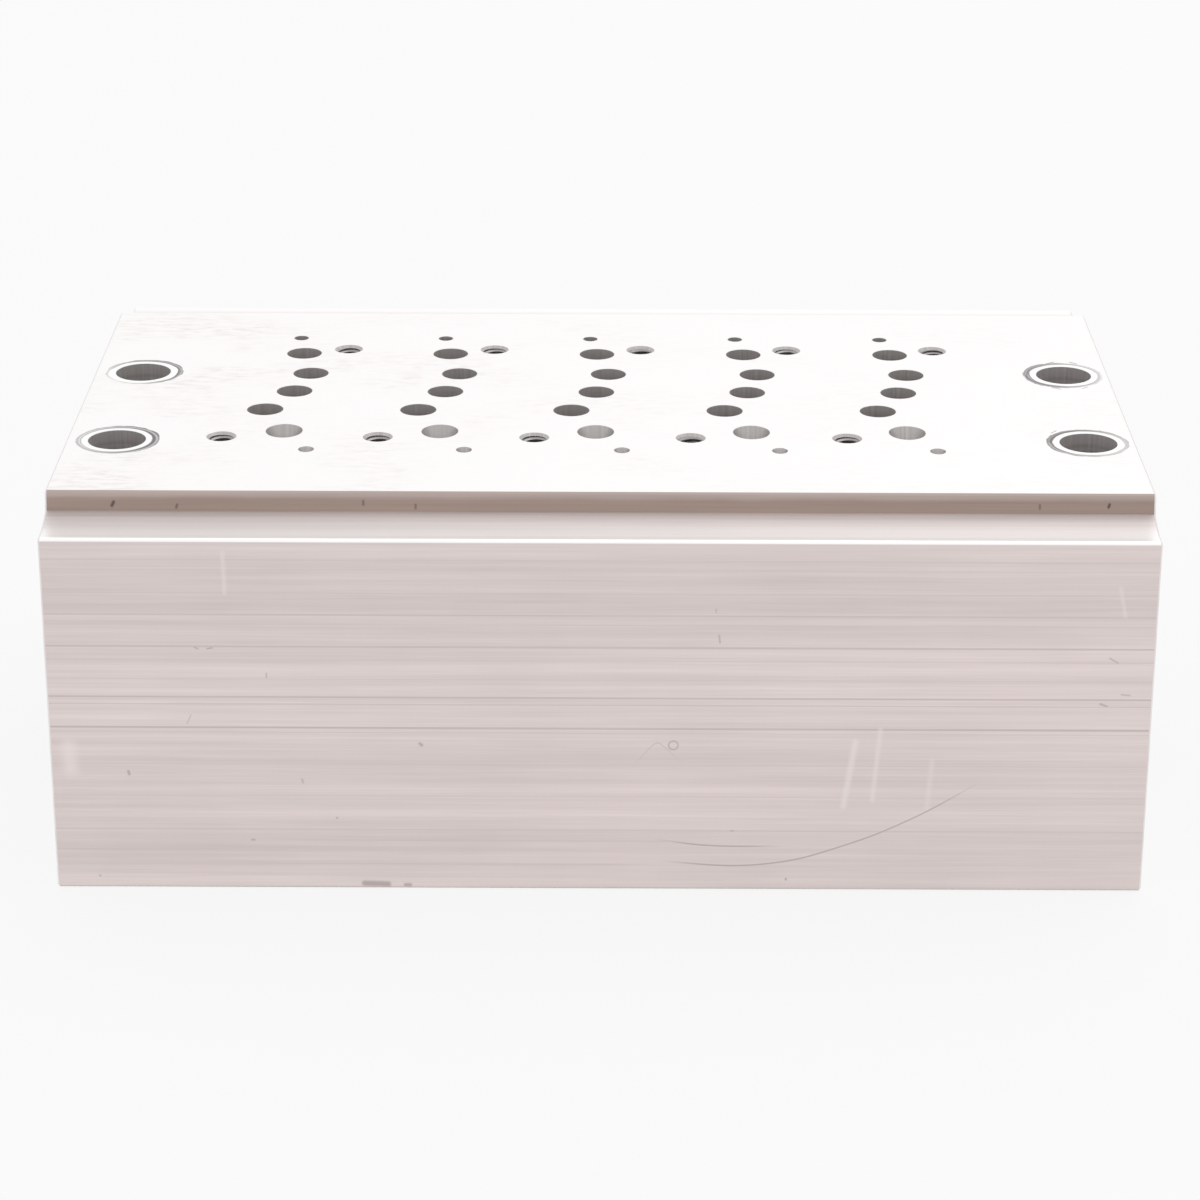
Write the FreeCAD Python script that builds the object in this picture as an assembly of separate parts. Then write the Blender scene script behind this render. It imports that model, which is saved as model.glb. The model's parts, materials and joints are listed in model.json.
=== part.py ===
"""A five-station pneumatic valve manifold block, cut from an aluminium extrusion.

The row frame stands on the block's underside: the origin is the middle of the underside, +X runs
along the row of valves, +Y points to the rear face with the outlet ports, and +Z is up.
All sizes are in millimetres.
"""

import FreeCAD, Part

import math
import os

Vector = FreeCAD.Vector

# The extruded section: a raised land for the valves, with a coved ledge in front and behind.
block_length = 129.5
block_height = 48.0
land_depth = 69.7
front_ledge = 7.0
rear_ledge = 13.5
land_rise = 2.3  # from the foot of the step up to the land
step_lean = 0.6  # how far the foot of the step stands outside its top edge
cove_width = 5.0
cove_fall = 1.1  # from the foot of the step down to the flat of the ledge
ledge_edge_radius = 0.5
base_edge_radius = 0.4
land_edge_break = 0.25
end_break = 0.25  # the deburred outline of both sawn and milled ends

# The valve stations, each measured from the middle of its own valve footprint.
station_count = 5
station_pitch = 19.0
station_row_x = -1.55
station_row_y = -1.5
main_port_diameter = 4.5
pilot_port_diameter = 1.9
centre_port_x = 0.9  # ports 1, 3 and 5 stand on one line
port_2_x = 2.4
port_4_x = -2.15
exhaust_3_y = 15.4
exhaust_5_y = -15.2
outlet_port_y = 7.15  # port 2 is this far behind port 1, and port 4 this far in front of it
pilot_port_y = 21.9  # pilot 12 is this far behind the middle, and pilot 14 this far in front
pilot_12_x = 0.0
pilot_14_x = 4.1
exhaust_5_tilt = 29.0  # degrees from upright, running down towards the front
pilot_14_tilt = 30.0

# The two valve screws of a station stand on a diagonal of its footprint.
valve_screw_x = 6.55
valve_screw_y = 17.3
valve_thread_diameter = 3.0
valve_thread_depth = 8.0
valve_sink_diameter = 3.7

# The four bolts that hold the block down pass right through it, two near each end.
base_bolt_hole = 7.0
base_bolt_left_inset = 6.15
base_bolt_right_inset = 5.75
base_bolt_spacing_y = 26.1
base_bolt_middle_y = -7.2

# The galleries run the whole length, tapped at both ends. The holes are modelled at the thread's
# major diameter, so that a fitting's own thread goes in.
gallery_diameter = 11.8
gallery_thread_diameter = 13.16
gallery_thread_depth = 13.0
gallery_mouth_diameter = 14.0
supply_y = -5.6
supply_z = 11.0
exhaust_3_gallery_y = 17.3
exhaust_3_gallery_z = 31.0
exhaust_5_gallery_z = 20.0

pilot_gallery_diameter = 3.0
pilot_gallery_z = 41.0
pilot_thread_diameter = 5.0
pilot_thread_depth = 8.0
pilot_mouth_diameter = 5.6

# The outlets come out of the rear face in two staggered rows.
outlet_offset_x = 4.75
outlet_2_z = 9.0
outlet_4_z = 21.5
outlet_thread_diameter = 9.73
outlet_thread_depth = 9.0
outlet_mouth_diameter = 10.5

drill_point_angle = 118.0  # degrees
sink_angle = 90.0
overshoot = 2.0  # how far each cutter starts outside the block

block_depth = front_ledge + land_depth + rear_ledge
front_face = -block_depth / 2
rear_face = block_depth / 2
half_length = block_length / 2


def line(a, b):
    """A straight edge of the section, between two (y, z) points."""
    return Part.LineSegment(Vector(0, *a), Vector(0, *b)).toShape()


def arc(a, middle, b):
    """A round edge of the section, through three (y, z) points."""
    return Part.Arc(Vector(0, *a), Vector(0, *middle), Vector(0, *b)).toShape()


def quarter(corner, radius, side_y, side_z):
    """The start, middle and end of a rounded corner; side_y and side_z point into the metal."""
    y, z = corner
    bulge = radius * (1 - math.sqrt(0.5))
    upright = (y, z + side_z * radius)
    middle = (y + side_y * bulge, z + side_z * bulge)
    level = (y + side_y * radius, z)
    return upright, middle, level


def ledge_side(outer_y, ledge, inward):
    """One side of the section, from the underside up to the land, as a list of edges."""
    foot_z = block_height - land_rise
    ledge_z = foot_z - cove_fall
    land_y = outer_y + inward * ledge
    foot_y = land_y - inward * step_lean
    cove_y = foot_y - inward * cove_width

    cove_radius = (cove_width ** 2 + cove_fall ** 2) / (2 * cove_fall)
    half_turn = math.asin(cove_width / cove_radius) / 2
    cove_middle = (
        cove_y + inward * cove_radius * math.sin(half_turn),
        ledge_z + cove_radius * (1 - math.cos(half_turn)),
    )

    base_up, base_middle, base_level = quarter((outer_y, 0), base_edge_radius, inward, 1)
    edge_up, edge_middle, edge_level = quarter((outer_y, ledge_z), ledge_edge_radius, inward, -1)
    break_low = (
        land_y - inward * step_lean * land_edge_break / land_rise,
        block_height - land_edge_break,
    )
    break_high = (land_y + inward * land_edge_break, block_height)
    return [
        arc(base_level, base_middle, base_up),
        line(base_up, edge_up),
        arc(edge_up, edge_middle, edge_level),
        line(edge_level, (cove_y, ledge_z)),
        arc((cove_y, ledge_z), cove_middle, (foot_y, foot_z)),
        line((foot_y, foot_z), break_low),
        line(break_low, break_high),
    ]


def section_outline():
    """The closed outline of the extruded section, in the plane x = 0."""
    front = ledge_side(front_face, front_ledge, 1)
    rear = ledge_side(rear_face, rear_ledge, -1)
    underside = line(
        (front_face + base_edge_radius, 0),
        (rear_face - base_edge_radius, 0),
    )
    land = line(
        (front_face + front_ledge + land_edge_break, block_height),
        (rear_face - rear_ledge - land_edge_break, block_height),
    )
    return Part.Wire(Part.__sortEdges__(front + rear + [underside, land]))


def placed(outline, x):
    """A copy of an outline, set across the block at x."""
    copy = outline.copy()
    copy.translate(Vector(x, 0, 0))
    return copy


def extruded_block():
    """The blank: the section run along X, drawn in a little at both ends where it was deburred."""
    outline = section_outline()
    inset = outline.makeOffset2D(-end_break, 2, False, False, False)
    core_half = half_length - end_break
    core = Part.Face(placed(outline, -core_half)).extrude(Vector(2 * core_half, 0, 0))
    caps = [
        Part.makeLoft([placed(outline, side * core_half), placed(inset, side * half_length)],
                      True, True)
        for side in (-1, 1)
    ]
    return core.fuse(caps)


def cone_length(wide, narrow, angle):
    """How far a cone of this full angle takes to go from one diameter to the other."""
    return (wide - narrow) / 2 / math.tan(math.radians(angle / 2))


def cutter(mouth, direction, steps):
    """A round cutter; steps are (distance from the mouth, diameter) going into the metal."""
    start, end = steps[0][0], steps[-1][0]
    points = [Vector(start, 0, 0)]
    points += [Vector(distance, diameter / 2, 0) for distance, diameter in steps if diameter > 0]
    points += [Vector(end, 0, 0), Vector(start, 0, 0)]
    profile = Part.Face(Part.makePolygon(points))
    tool = profile.revolve(Vector(0, 0, 0), Vector(1, 0, 0), 360)
    tool.Placement = FreeCAD.Placement(
        Vector(*mouth), FreeCAD.Rotation(Vector(1, 0, 0), Vector(*direction))
    )
    return tool


def drilled(mouth, direction, diameter, depth, lead=overshoot):
    """A plain hole with a drill point; depth is to the end of its full diameter."""
    point = cone_length(diameter, 0, drill_point_angle)
    return cutter(mouth, direction, [(-lead, diameter), (depth, diameter), (depth + point, 0)])


def tapped(mouth, direction, mouth_diameter, thread_diameter, depth, passage_diameter, length):
    """A tapped hole with a sunk mouth, which runs on as a narrower passage to its length."""
    sink = cone_length(mouth_diameter, thread_diameter, sink_angle)
    taper = cone_length(thread_diameter, passage_diameter, drill_point_angle)
    steps = [
        (-overshoot, mouth_diameter),
        (0, mouth_diameter),
        (sink, thread_diameter),
        (depth, thread_diameter),
        (depth + taper, passage_diameter),
    ]
    if length > depth + taper:
        steps.append((length, passage_diameter))
    return cutter(mouth, direction, steps)


def gallery(y, z, mouth_diameter, thread_diameter, depth, diameter):
    """A passage along the block, tapped at both ends: two cutters that meet in the middle."""
    meet = half_length + overshoot
    return [
        tapped((side * half_length, y, z), (-side, 0, 0), mouth_diameter, thread_diameter,
               depth, diameter, meet)
        for side in (-1, 1)
    ]


def station_middle(index):
    """The middle of a valve's footprint on the land, as (x, y)."""
    x = station_row_x + (index - (station_count - 1) / 2) * station_pitch
    return x, station_row_y


def tilted_y(start_y, tilt, z):
    """Where a hole that leans towards the front has got to when it is down at height z."""
    return start_y - math.tan(math.radians(tilt)) * (block_height - z)


def upright_port(x, y, diameter, bottom_z):
    """A port drilled straight down from the land."""
    return drilled((x, y, block_height), (0, 0, -1), diameter, block_height - bottom_z)


def leaning_port(x, y, diameter, tilt, bottom_z):
    """A port drilled at a slant, down towards the front."""
    lean = math.radians(tilt)
    direction = (0, -math.sin(lean), -math.cos(lean))
    depth = (block_height - bottom_z) / math.cos(lean)
    lead = overshoot + diameter * math.tan(lean)
    return drilled((x, y, block_height), direction, diameter, depth, lead)


def outlet(x, z, port_y):
    """A tapped outlet in the rear face, with its passage forward to the port above it."""
    return tapped((x, rear_face, z), (0, -1, 0), outlet_mouth_diameter, outlet_thread_diameter,
                  outlet_thread_depth, main_port_diameter, rear_face - port_y)


def valve_screw(x, y):
    """A blind tapped hole for a valve screw, sunk at the land."""
    return tapped((x, y, block_height), (0, 0, -1), valve_sink_diameter, valve_thread_diameter,
                  valve_thread_depth, 0, 0)


def station(index):
    """Every hole of one valve station."""
    x, y = station_middle(index)
    centre_x = x + centre_port_x
    y_2 = y + outlet_port_y
    y_4 = y - outlet_port_y
    below = main_port_diameter / 2
    return [
        upright_port(centre_x, y, main_port_diameter, supply_z),
        upright_port(centre_x, y + exhaust_3_y, main_port_diameter, exhaust_3_gallery_z),
        leaning_port(centre_x, y + exhaust_5_y, main_port_diameter, exhaust_5_tilt,
                     exhaust_5_gallery_z),
        upright_port(x + port_2_x, y_2, main_port_diameter, outlet_2_z - below),
        upright_port(x + port_4_x, y_4, main_port_diameter, outlet_4_z - below),
        upright_port(x + pilot_12_x, y + pilot_port_y, pilot_port_diameter, pilot_gallery_z),
        leaning_port(x + pilot_14_x, y - pilot_port_y, pilot_port_diameter, pilot_14_tilt,
                     pilot_gallery_z),
        outlet(x + outlet_offset_x, outlet_2_z, y_2),
        outlet(x - outlet_offset_x, outlet_4_z, y_4),
        valve_screw(x + valve_screw_x, y + valve_screw_y),
        valve_screw(x - valve_screw_x, y - valve_screw_y),
    ]


def base_bolt_holes():
    """The four plain holes for the bolts that hold the block down."""
    steps = [(-overshoot, base_bolt_hole), (block_height + overshoot, base_bolt_hole)]
    holes = []
    for x in (base_bolt_left_inset - half_length, half_length - base_bolt_right_inset):
        for side in (-1, 1):
            y = base_bolt_middle_y + side * base_bolt_spacing_y / 2
            holes.append(cutter((x, y, block_height), (0, 0, -1), steps))
    return holes


def galleries():
    """The five passages along the block: supply, two exhausts and two pilots."""
    exhaust_5_gallery_y = tilted_y(station_row_y + exhaust_5_y, exhaust_5_tilt, exhaust_5_gallery_z)
    pilot_12_gallery_y = station_row_y + pilot_port_y
    pilot_14_gallery_y = tilted_y(station_row_y - pilot_port_y, pilot_14_tilt, pilot_gallery_z)
    passages = []
    for y, z in (
        (supply_y, supply_z),
        (exhaust_3_gallery_y, exhaust_3_gallery_z),
        (exhaust_5_gallery_y, exhaust_5_gallery_z),
    ):
        passages += gallery(y, z, gallery_mouth_diameter, gallery_thread_diameter,
                            gallery_thread_depth, gallery_diameter)
    for y in (pilot_12_gallery_y, pilot_14_gallery_y):
        passages += gallery(y, pilot_gallery_z, pilot_mouth_diameter, pilot_thread_diameter,
                            pilot_thread_depth, pilot_gallery_diameter)
    return passages


def manifold_block():
    """The finished block, with every hole cut out of the blank."""
    cutters = base_bolt_holes() + galleries()
    for index in range(station_count):
        cutters += station(index)
    return extruded_block().cut(cutters)


def main():
    os.makedirs("parts", exist_ok=True)
    block = manifold_block()
    block.exportStep("parts/manifold_block.step")
    print("solids", len(block.Solids), "faces", len(block.Faces), "valid", block.isValid())
    print("volume", round(block.Volume, 1), "mm3")


main()
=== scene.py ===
"""The looks of a five-station pneumatic valve manifold block in worn, as-extruded aluminium.

The block itself is the frame's solid with a finish of its own: a bright ground land, dull sides
with lengthwise die lines, a step darker as painted shade and darker brown towards its foot,
ledges with painted shade near the step and a painted highlight at their edge, sawn ends and
drilled bores. The threads are cut into its tapped holes here, and a plain white studio stands
around it.
"""

import json
import math
from itertools import chain

import bpy
from bpy.props import FloatProperty, FloatVectorProperty, IntProperty, PointerProperty
from mathutils import Matrix, Vector


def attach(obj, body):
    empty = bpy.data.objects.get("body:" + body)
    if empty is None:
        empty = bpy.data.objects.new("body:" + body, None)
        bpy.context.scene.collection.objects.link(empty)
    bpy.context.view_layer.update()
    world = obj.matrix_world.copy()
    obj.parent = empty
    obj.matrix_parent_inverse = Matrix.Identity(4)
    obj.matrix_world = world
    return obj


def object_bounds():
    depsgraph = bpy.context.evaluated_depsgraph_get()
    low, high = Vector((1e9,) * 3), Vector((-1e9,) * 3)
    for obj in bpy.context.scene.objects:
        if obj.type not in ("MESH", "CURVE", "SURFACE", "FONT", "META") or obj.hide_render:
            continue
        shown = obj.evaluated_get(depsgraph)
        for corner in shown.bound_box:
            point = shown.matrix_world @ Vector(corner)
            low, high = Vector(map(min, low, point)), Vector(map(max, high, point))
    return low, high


bl_info = {
    "name": "Valve Manifold Block",
    "version": (1, 0, 0),
    "blender": (4, 5, 0),
    "location": "3D View > Sidebar > Manifold",
    "description": "Finishes a pneumatic valve manifold block, cuts its threads and lights it",
    "category": "Object",
}

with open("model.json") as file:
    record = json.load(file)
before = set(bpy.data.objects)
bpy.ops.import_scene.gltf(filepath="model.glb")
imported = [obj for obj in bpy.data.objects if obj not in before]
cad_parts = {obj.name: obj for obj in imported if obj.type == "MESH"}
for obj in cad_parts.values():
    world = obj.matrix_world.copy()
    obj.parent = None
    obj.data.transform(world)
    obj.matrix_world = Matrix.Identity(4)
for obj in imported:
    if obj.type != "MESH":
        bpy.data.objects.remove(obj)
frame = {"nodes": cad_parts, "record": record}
cad_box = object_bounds()

MM = 0.001
BLOCK = "manifold_block"
STEP_REACH = 0.8  # mm that the foot of the step stands outside the flat of the land
DRILL_FEED = 0.28  # mm between the rings that a drill leaves
CUTTER_RADIUS = 62.0  # mm, of the cutter that faced the ends
CUTTER_FEED = 0.9  # mm between its sweeps
LINE_FADE = 6.0  # mm over which a line on the front starts and ends
SCRATCH_LEAD = 3.0  # mm that a long scratch runs past its outer points

block = frame["nodes"][BLOCK]
mounts = {mount["name"]: mount for mount in frame["record"]["mounts"]}


def in_mm(metres):
    """A length of the frame, in millimetres."""
    return metres / MM


def flat_levels():
    """The heights and edges of the block's outer faces in millimetres, read off its solid."""
    points = [vertex.co / MM for vertex in block.data.vertices]
    top = max(point.z for point in points)
    land = [point.y for point in points if point.z > top - 0.01]
    half_depth = max(point.y for point in points)
    edge = [point.z for point in points if point.y > half_depth - 0.01]
    foot = max(point.z for point in points if point.y < min(land) - STEP_REACH)
    return {
        "half_length": max(point.x for point in points),
        "half_depth": half_depth,
        "top": top,
        "land_front": min(land),
        "land_rear": max(land),
        "ledge": max(edge),
        "step_foot": foot,
    }


levels = flat_levels()


# ---------------------------------------------------------------- node trees


class Nodes:
    """Adds nodes to one tree. A value may be a plain number or the socket of another node."""

    def __init__(self, tree):
        self.tree = tree

    def add(self, kind, inputs=(), **settings):
        """One node, with its settings and its inputs by name or number."""
        node = self.tree.nodes.new(kind)
        for name, value in settings.items():
            setattr(node, name, value)
        for key, value in dict(inputs).items():
            self.feed(node.inputs[key], value)
        return node

    def feed(self, socket, value):
        """Links a socket, or gives it a plain value."""
        if isinstance(value, bpy.types.NodeSocket):
            self.tree.links.new(value, socket)
        else:
            socket.default_value = value

    def math(self, operation, *values, clamp=False):
        """The result of a Math node."""
        node = self.add("ShaderNodeMath", enumerate(values), operation=operation, use_clamp=clamp)
        return node.outputs[0]

    def total(self, *values):
        """All the values added up."""
        result = values[0]
        for value in values[1:]:
            result = self.math("ADD", result, value)
        return result

    def product(self, *values):
        """All the values multiplied together."""
        result = values[0]
        for value in values[1:]:
            result = self.math("MULTIPLY", result, value)
        return result

    def ramp(self, value, low, high, start=0.0, end=1.0):
        """A smooth step: start where value is low, end where it is high."""
        node = self.add(
            "ShaderNodeMapRange", {0: value, 1: low, 2: high, 3: start, 4: end},
            interpolation_type="SMOOTHSTEP",
        )
        return node.outputs[0]

    def blend(self, mask, a, b):
        """Value a where the mask is 0, and b where it is 1."""
        node = self.add("ShaderNodeMix", {0: mask, 2: a, 3: b}, data_type="FLOAT")
        return node.outputs[0]

    def tint(self, mask, a, b, mode="MIX"):
        """Colour a where the mask is 0, and b where it is 1."""
        node = self.add("ShaderNodeMix", {0: mask, 6: a, 7: b}, data_type="RGBA", blend_type=mode)
        return node.outputs[2]

    def vector(self, x, y, z=0.0):
        """Three values as one vector."""
        return self.add("ShaderNodeCombineXYZ", {0: x, 1: y, 2: z}).outputs[0]

    def split(self, vector):
        """The three values of a vector."""
        return self.add("ShaderNodeSeparateXYZ", {0: vector}).outputs

    def noise(self, scale, detail=2.0, roughness=0.5):
        """Soft noise about 0.5 over the object's own frame, in lumps a mm along X, Y and Z."""
        place = self.add("ShaderNodeTexCoord").outputs["Object"]
        mapped = self.add("ShaderNodeMapping", {"Vector": place,
                                                "Scale": [value / MM for value in scale]})
        node = self.add("ShaderNodeTexNoise", {"Vector": mapped.outputs[0], "Scale": 1.0,
                                               "Detail": detail, "Roughness": roughness})
        return node.outputs[0]

    def noise_along(self, value, detail=2.0, roughness=0.5):
        """Soft noise about 0.5 that depends on one value, one unit to a lump."""
        node = self.add("ShaderNodeTexNoise", {"W": value, "Scale": 1.0, "Detail": detail,
                                               "Roughness": roughness}, noise_dimensions="1D")
        return node.outputs[0]

    def signed(self, value):
        """Turns a value about 0.5 into one about 0, from -1 to 1."""
        return self.math("MULTIPLY_ADD", value, 2.0, -1.0)

    def use(self, tree, **inputs):
        """The outputs of a node group; an input's name is written with _ for each space."""
        named = {name.replace("_", " "): value for name, value in inputs.items()}
        return self.add("ShaderNodeGroup", named, node_tree=tree).outputs


VALUE = "NodeSocketFloat"
VECTOR = "NodeSocketVector"


def new_group(name, inputs, outputs):
    """An empty shader group with these sockets: its builder, its inputs and its output node."""
    tree = bpy.data.node_groups.new(name, "ShaderNodeTree")
    for socket, kind, default in inputs:
        made = tree.interface.new_socket(socket, in_out="INPUT", socket_type=kind)
        made.default_value = default
    for socket in outputs:
        tree.interface.new_socket(socket, in_out="OUTPUT", socket_type=VALUE)
    nodes = Nodes(tree)
    source = tree.nodes.new("NodeGroupInput").outputs
    result = tree.nodes.new("NodeGroupOutput").inputs
    return nodes, source, result


def finish_group(nodes, result, **values):
    """Feeds a group's outputs and returns its tree."""
    for name, value in values.items():
        nodes.feed(result[name.replace("_", " ")], value)
    return nodes.tree


# ---------------------------------------------------------------- shared effects


def zones_group():
    """Which face of the block a point is on, as one mask for each, from its place in mm."""
    nodes, given, result = new_group("block_zones", [
        ("X", VALUE, 0.0), ("Y", VALUE, 0.0), ("Z", VALUE, 0.0),
        ("Half Length", VALUE, 60.0), ("Half Depth", VALUE, 40.0), ("Top", VALUE, 48.0),
        ("Land Front", VALUE, -38.0), ("Land Rear", VALUE, 32.0), ("Ledge", VALUE, 44.0),
        ("Step Foot", VALUE, 45.0),
    ], ["Land", "Step", "Ledge", "Side", "End", "Under", "Bore"])
    x, y, z = given["X"], given["Y"], given["Z"]
    from_front = nodes.math("SUBTRACT", y, given["Land Front"])
    from_rear = nodes.math("SUBTRACT", given["Land Rear"], y)
    beyond_land = nodes.ramp(nodes.math("MINIMUM", from_front, from_rear), 0.02, 0.30, 1.0, 0.0)
    from_end = nodes.math("SUBTRACT", given["Half Length"], nodes.math("ABSOLUTE", x))
    from_side = nodes.math("SUBTRACT", given["Half Depth"], nodes.math("ABSOLUTE", y))
    from_top = nodes.math("SUBTRACT", given["Top"], z)

    end = nodes.ramp(from_end, 0.16, 0.26, 1.0, 0.0)
    not_end = nodes.math("SUBTRACT", 1.0, end)
    land = nodes.product(nodes.ramp(from_top, 0.01, 0.05, 1.0, 0.0), not_end)
    side = nodes.product(nodes.ramp(from_side, 0.01, 0.06, 1.0, 0.0), not_end)
    under = nodes.product(nodes.ramp(z, 0.01, 0.05, 1.0, 0.0), not_end)
    above_foot = nodes.ramp(nodes.math("SUBTRACT", z, given["Step Foot"]), -0.04, 0.04)
    not_land = nodes.math("SUBTRACT", 1.0, land)
    step = nodes.product(beyond_land, above_foot, not_land, not_end)
    above_edge = nodes.ramp(nodes.math("SUBTRACT", z, given["Ledge"]), -0.05, 0.10)
    below_foot = nodes.math("SUBTRACT", 1.0, above_foot)
    not_side = nodes.math("SUBTRACT", 1.0, side)
    ledge = nodes.product(beyond_land, above_edge, below_foot, not_side, not_end)
    outer = nodes.total(land, side, under, step, ledge, end)
    bore = nodes.math("SUBTRACT", 1.0, outer, clamp=True)
    return finish_group(nodes, result, Land=land, Step=step, Ledge=ledge, Side=side, End=end,
                        Under=under, Bore=bore)


def lengthwise_group():
    """The fine drawn lines that an extrusion die leaves along the block."""
    nodes, given, result = new_group("lengthwise_lines", [], ["Fine", "Broad"])

    def lines(along, across):
        return nodes.signed(nodes.noise((along, 1.6 * across, across), 2.0, 0.6))

    fine = nodes.math("ADD", lines(0.060, 4.2), lines(0.016, 1.5))
    broad = nodes.math("ADD", lines(0.004, 0.55), lines(0.009, 0.16))
    return finish_group(nodes, result, Fine=fine, Broad=broad)


def die_line_group():
    """A long dark line at a given height."""
    nodes, given, result = new_group("die_line", [
        ("Across", VALUE, 0.0), ("Height", VALUE, 0.0), ("Width", VALUE, 0.1),
        ("Strength", VALUE, 0.5),
    ], ["Mask"])
    off = nodes.math("ABSOLUTE", nodes.math("SUBTRACT", given["Across"], given["Height"]))
    line = nodes.ramp(off, nodes.product(given["Width"], 0.3), given["Width"],
                      given["Strength"], 0.0)
    return finish_group(nodes, result, Mask=line)


def mark_group():
    """A straight nick, tick or speck: a soft mark about the line from one point to another."""
    nodes, given, result = new_group("short_mark", [
        ("Place", VECTOR, (0, 0, 0)), ("From", VECTOR, (0, 0, 0)), ("Run", VECTOR, (1, 0, 0)),
        ("Run Over Square", VECTOR, (1, 0, 0)), ("Core", VALUE, 0.1), ("Width", VALUE, 0.2),
        ("Strength", VALUE, 0.5),
    ], ["Mask"])

    def vector_math(operation, a, b, output=0):
        node = nodes.add("ShaderNodeVectorMath", {0: a, 1: b}, operation=operation)
        return node.outputs[output]

    out = vector_math("SUBTRACT", given["Place"], given["From"])
    share = nodes.math("MULTIPLY", vector_math("DOT_PRODUCT", out, given["Run Over Square"], 1),
                       1.0, clamp=True)
    scaled = nodes.add("ShaderNodeVectorMath", {0: given["Run"], 3: share}, operation="SCALE")
    distance = vector_math("DISTANCE", out, scaled.outputs[0], 1)
    return finish_group(nodes, result, Mask=nodes.ramp(distance, given["Core"], given["Width"],
                                                       given["Strength"], 0.0))


def scuff_group():
    """The marks of a bolt head around its hole: a clean bright ring inside a ragged grey one."""
    nodes, given, result = new_group("bolt_scuff", [
        ("X", VALUE, 0.0), ("Y", VALUE, 0.0), ("Inner", VALUE, 4.3), ("Outer", VALUE, 5.1),
        ("Raggedness", VALUE, 0.3), ("Heavy Side", VALUE, 0.0), ("Unevenness", VALUE, 0.5),
        ("Seed", VALUE, 0.0),
    ], ["Contact", "Scuff"])
    x, y = given["X"], given["Y"]
    radius = nodes.math("SQRT", nodes.total(nodes.product(x, x), nodes.product(y, y)))
    angle = nodes.math("ARCTAN2", y, x)

    def lumps(scale, detail):
        return nodes.signed(nodes.noise((scale, scale, 0.0), detail))

    ragged = nodes.product(lumps(0.64, 4.0), given["Raggedness"])
    waver = nodes.product(lumps(0.34, 2.0), given["Raggedness"], 0.6)
    off = nodes.math("SUBTRACT", angle, given["Heavy Side"])
    side = nodes.product(nodes.math("COSINE", off), given["Unevenness"])
    outer = nodes.total(given["Outer"], ragged, nodes.product(side, 0.22))
    inner = nodes.total(given["Inner"], waver)
    past_inner = nodes.ramp(nodes.math("SUBTRACT", radius, inner), -0.10, 0.10)
    before_outer = nodes.ramp(nodes.math("SUBTRACT", radius, outer), -0.14, 0.06, 1.0, 0.0)
    ring = nodes.product(past_inner, before_outer)
    streaks = nodes.total(nodes.product(radius, 3.2), nodes.product(angle, 0.3), given["Seed"])
    grain = nodes.ramp(nodes.noise_along(streaks, 3.0, 0.7), 0.40, 0.68, 1.0, 0.45)
    weight = nodes.math("ADD", 0.80, nodes.product(side, 0.55), clamp=True)
    edge = nodes.ramp(nodes.math("ABSOLUTE", nodes.math("SUBTRACT", radius, inner)),
                      0.02, 0.16, 0.55, 0.0)
    scuff = nodes.product(nodes.total(nodes.product(ring, grain), edge), weight)
    contact = nodes.math("SUBTRACT", 1.0, past_inner)
    return finish_group(nodes, result, Contact=contact, Scuff=scuff)


def sweep_group():
    """The curved feed marks that a face cutter leaves as it passes over an end."""
    nodes, given, result = new_group("cutter_sweeps", [
        ("Across", VALUE, 0.0), ("Up", VALUE, 0.0), ("Cutter Radius", VALUE, 40.0),
        ("Feed", VALUE, 0.5), ("Cloud", VALUE, 0.0),
    ], ["Tone"])
    across = given["Across"]
    height = nodes.math("SUBTRACT", given["Up"], levels["top"] / 2)
    chord = nodes.math("SUBTRACT", nodes.product(given["Cutter Radius"], given["Cutter Radius"]),
                       nodes.product(height, height))
    reach = nodes.math("SQRT", nodes.math("MAXIMUM", chord, 1.0))
    feed = nodes.math("DIVIDE", nodes.math("SUBTRACT", across, reach), given["Feed"])
    wave = nodes.math("SINE", nodes.product(feed, math.tau))
    uneven = nodes.signed(nodes.noise_along(nodes.product(feed, 0.9)))
    tone = nodes.total(nodes.product(wave, 0.25), uneven, nodes.product(given["Cloud"], 0.5))
    return finish_group(nodes, result, Tone=tone)


def bore_group():
    """The rings that a drill leaves round the wall of a hole, whichever way the hole runs."""
    nodes, given, result = new_group("drill_rings", [
        ("X", VALUE, 0.0), ("Y", VALUE, 0.0), ("Z", VALUE, 0.0), ("Pitch", VALUE, 0.25),
    ], ["Tone"])
    normal = nodes.split(nodes.add("ShaderNodeNewGeometry").outputs["True Normal"])
    tones = []
    for index, axis in enumerate("XYZ"):
        along = nodes.math("DIVIDE", given[axis], given["Pitch"])
        rings = nodes.signed(nodes.noise_along(nodes.product(along, 0.6), 3.0, 0.7))
        facing = nodes.math("SUBTRACT", 1.0, nodes.product(normal[index], normal[index]))
        tones.append(nodes.product(rings, facing, facing))
    return finish_group(nodes, result, Tone=nodes.total(*tones))


def smudge_group():
    """Faint handling smudges and short scratches along the block, on a ground face."""
    nodes, given, result = new_group("handling_marks", [], ["Smudge", "Scratch"])
    cloud = nodes.noise((0.045, 0.07, 0.0), 3.0, 0.55)
    patch = nodes.noise((0.35, 1.1, 0.0), 4.0, 0.65)
    smudge = nodes.product(nodes.ramp(cloud, 0.42, 0.68), nodes.ramp(patch, 0.40, 0.72))
    hair = nodes.noise((0.42, 5.5, 0.0), 3.0, 0.7)
    scratch = nodes.product(nodes.ramp(hair, 0.60, 0.76), nodes.ramp(cloud, 0.58, 0.40, 0.25, 1.0))
    return finish_group(nodes, result, Smudge=smudge, Scratch=scratch)


# ---------------------------------------------------------------- finishes


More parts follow.
